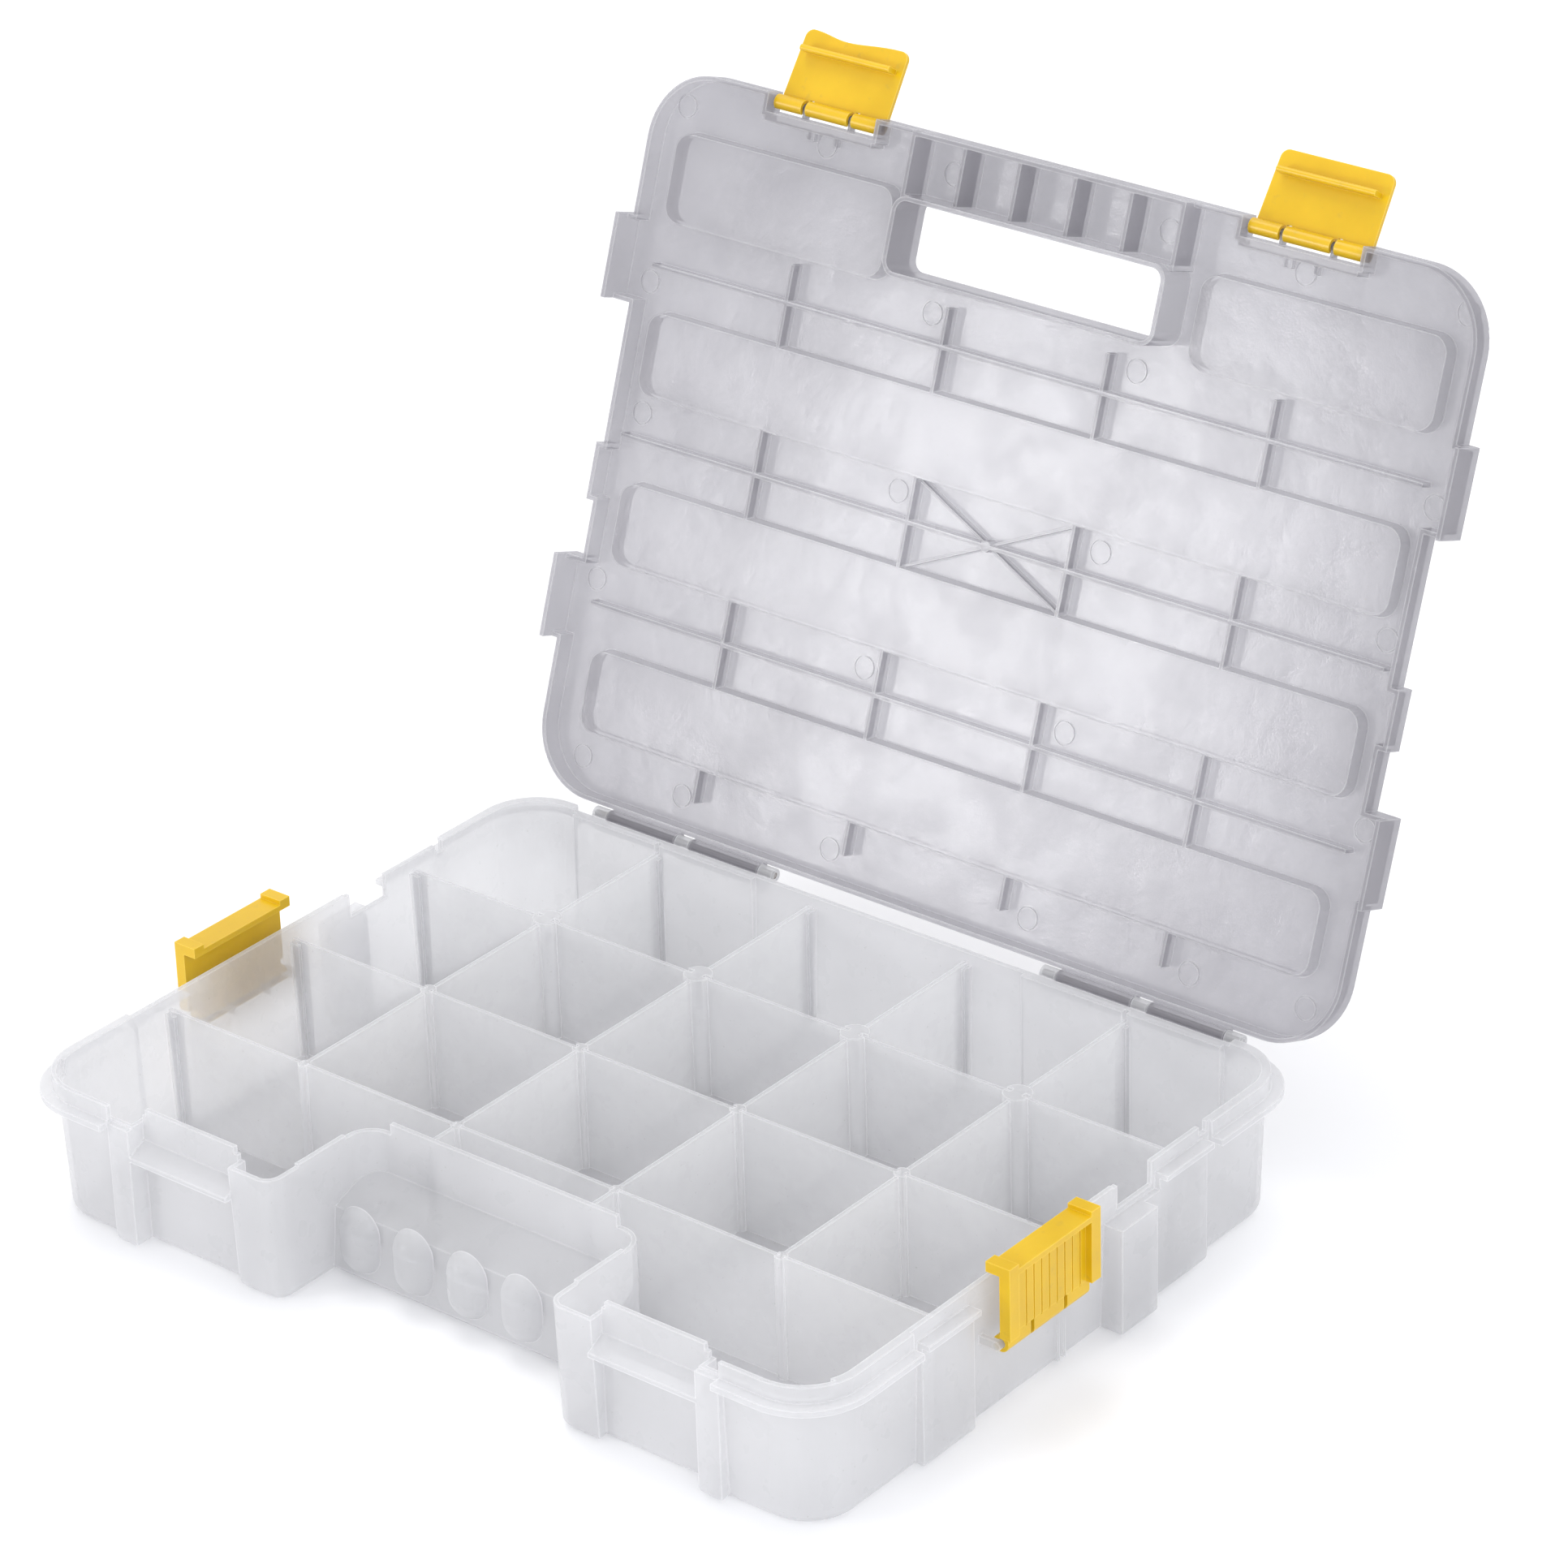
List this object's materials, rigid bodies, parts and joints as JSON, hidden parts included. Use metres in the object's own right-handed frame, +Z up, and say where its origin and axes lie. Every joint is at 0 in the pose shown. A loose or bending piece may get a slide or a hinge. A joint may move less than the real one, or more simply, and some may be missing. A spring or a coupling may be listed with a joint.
{
  "type": "tackle_box",
  "caption": "Translucent hinged tackle box with a carry handle window, snap latches on front and sides, and a tray split into compartments by lift-out dividers.",
  "frame": {"origin": "middle of the tray's flat underside, on the surface it rests on", "axes": "+X along the hinge, to the right seen from the handle side; +Y towards the hinge; +Z up"},
  "size_m": [0.346, 0.3655, 0.3056],
  "materials": {
    "tray_plastic": "milky translucent",
    "lid_plastic": "clear with a grey cast",
    "latch_plastic": "opaque moulded",
    "pin_metal": "drawn wire"
  },
  "bodies": {
    "tray": {"base_tray": "tray_plastic", "hinge_pins": "pin_metal"},
    "lid_body": {"lid": "lid_plastic"},
    "front_latch_left_body": {"front_latch_left": "latch_plastic"},
    "front_latch_right_body": {"front_latch_right": "latch_plastic"},
    "side_latch_left_body": {"side_latch_left": "latch_plastic"},
    "side_latch_right_body": {"side_latch_right": "latch_plastic"},
    "long_divider_1_body": {"long_divider_1": "tray_plastic"},
    "long_divider_2_body": {"long_divider_2": "tray_plastic"},
    "long_divider_3_body": {"long_divider_3": "tray_plastic"},
    "long_divider_4_body": {"long_divider_4": "tray_plastic"},
    "rear_divider_1_body": {"rear_divider_1": "tray_plastic"},
    "rear_divider_2_body": {"rear_divider_2": "tray_plastic"},
    "rear_divider_3_body": {"rear_divider_3": "tray_plastic"},
    "rear_divider_4_body": {"rear_divider_4": "tray_plastic"},
    "rear_divider_5_body": {"rear_divider_5": "tray_plastic"},
    "middle_divider_1_body": {"middle_divider_1": "tray_plastic"},
    "middle_divider_2_body": {"middle_divider_2": "tray_plastic"},
    "middle_divider_3_body": {"middle_divider_3": "tray_plastic"},
    "middle_divider_4_body": {"middle_divider_4": "tray_plastic"},
    "middle_divider_5_body": {"middle_divider_5": "tray_plastic"},
    "front_divider_1_body": {"front_divider_1": "tray_plastic"},
    "front_divider_2_body": {"front_divider_2": "tray_plastic"},
    "front_divider_3_body": {"front_divider_3": "tray_plastic"},
    "front_divider_4_body": {"front_divider_4": "tray_plastic"},
    "front_divider_5_body": {"front_divider_5": "tray_plastic"}
  },
  "joints": [
    {"name": "lid_hinge", "type": "hinge", "parent": "tray", "child": "lid_body", "pos_m": [0, 0.1303, 0.0451], "axis": [-1, 0, 0], "range_deg": [-109.5, 0]},
    {"name": "front_latch_left_hinge", "type": "hinge", "parent": "lid_body", "child": "front_latch_left_body", "pos_m": [-0.0976, 0.22096, 0.28404], "axis": [-1, 0, 0], "range_deg": [-105, 0]},
    {"name": "front_latch_right_hinge", "type": "hinge", "parent": "lid_body", "child": "front_latch_right_body", "pos_m": [0.0976, 0.22096, 0.28404], "axis": [-1, 0, 0], "range_deg": [-105, 0]},
    {"name": "side_latch_left_hinge", "type": "hinge", "parent": "tray", "child": "side_latch_left_body", "pos_m": [-0.1675, -0.0195, 0.03], "axis": [0, -1, 0], "range_deg": [-8, 110]},
    {"name": "side_latch_right_hinge", "type": "hinge", "parent": "tray", "child": "side_latch_right_body", "pos_m": [0.1675, -0.0195, 0.03], "axis": [0, 1, 0], "range_deg": [-8, 110]},
    {"name": "long_divider_1_lift", "type": "slide", "parent": "tray", "child": "long_divider_1_body", "axis": [0, 0, 1], "range_m": [0, 0.052]},
    {"name": "long_divider_2_lift", "type": "slide", "parent": "tray", "child": "long_divider_2_body", "axis": [0, 0, 1], "range_m": [0, 0.052]},
    {"name": "long_divider_3_lift", "type": "slide", "parent": "tray", "child": "long_divider_3_body", "axis": [0, 0, 1], "range_m": [0, 0.052]},
    {"name": "long_divider_4_lift", "type": "slide", "parent": "tray", "child": "long_divider_4_body", "axis": [0, 0, 1], "range_m": [0, 0.052]},
    {"name": "rear_divider_1_lift", "type": "slide", "parent": "tray", "child": "rear_divider_1_body", "axis": [0, 0, 1], "range_m": [0, 0.052]},
    {"name": "rear_divider_2_lift", "type": "slide", "parent": "tray", "child": "rear_divider_2_body", "axis": [0, 0, 1], "range_m": [0, 0.052]},
    {"name": "rear_divider_3_lift", "type": "slide", "parent": "tray", "child": "rear_divider_3_body", "axis": [0, 0, 1], "range_m": [0, 0.052]},
    {"name": "rear_divider_4_lift", "type": "slide", "parent": "tray", "child": "rear_divider_4_body", "axis": [0, 0, 1], "range_m": [0, 0.052]},
    {"name": "rear_divider_5_lift", "type": "slide", "parent": "tray", "child": "rear_divider_5_body", "axis": [0, 0, 1], "range_m": [0, 0.052]},
    {"name": "middle_divider_1_lift", "type": "slide", "parent": "tray", "child": "middle_divider_1_body", "axis": [0, 0, 1], "range_m": [0, 0.052]},
    {"name": "middle_divider_2_lift", "type": "slide", "parent": "tray", "child": "middle_divider_2_body", "axis": [0, 0, 1], "range_m": [0, 0.052]},
    {"name": "middle_divider_3_lift", "type": "slide", "parent": "tray", "child": "middle_divider_3_body", "axis": [0, 0, 1], "range_m": [0, 0.052]},
    {"name": "middle_divider_4_lift", "type": "slide", "parent": "tray", "child": "middle_divider_4_body", "axis": [0, 0, 1], "range_m": [0, 0.052]},
    {"name": "middle_divider_5_lift", "type": "slide", "parent": "tray", "child": "middle_divider_5_body", "axis": [0, 0, 1], "range_m": [0, 0.052]},
    {"name": "front_divider_1_lift", "type": "slide", "parent": "tray", "child": "front_divider_1_body", "axis": [0, 0, 1], "range_m": [0, 0.052]},
    {"name": "front_divider_2_lift", "type": "slide", "parent": "tray", "child": "front_divider_2_body", "axis": [0, 0, 1], "range_m": [0, 0.052]},
    {"name": "front_divider_3_lift", "type": "slide", "parent": "tray", "child": "front_divider_3_body", "axis": [0, 0, 1], "range_m": [0, 0.052]},
    {"name": "front_divider_4_lift", "type": "slide", "parent": "tray", "child": "front_divider_4_body", "axis": [0, 0, 1], "range_m": [0, 0.052]},
    {"name": "front_divider_5_lift", "type": "slide", "parent": "tray", "child": "front_divider_5_body", "axis": [0, 0, 1], "range_m": [0, 0.052]}
  ]
}
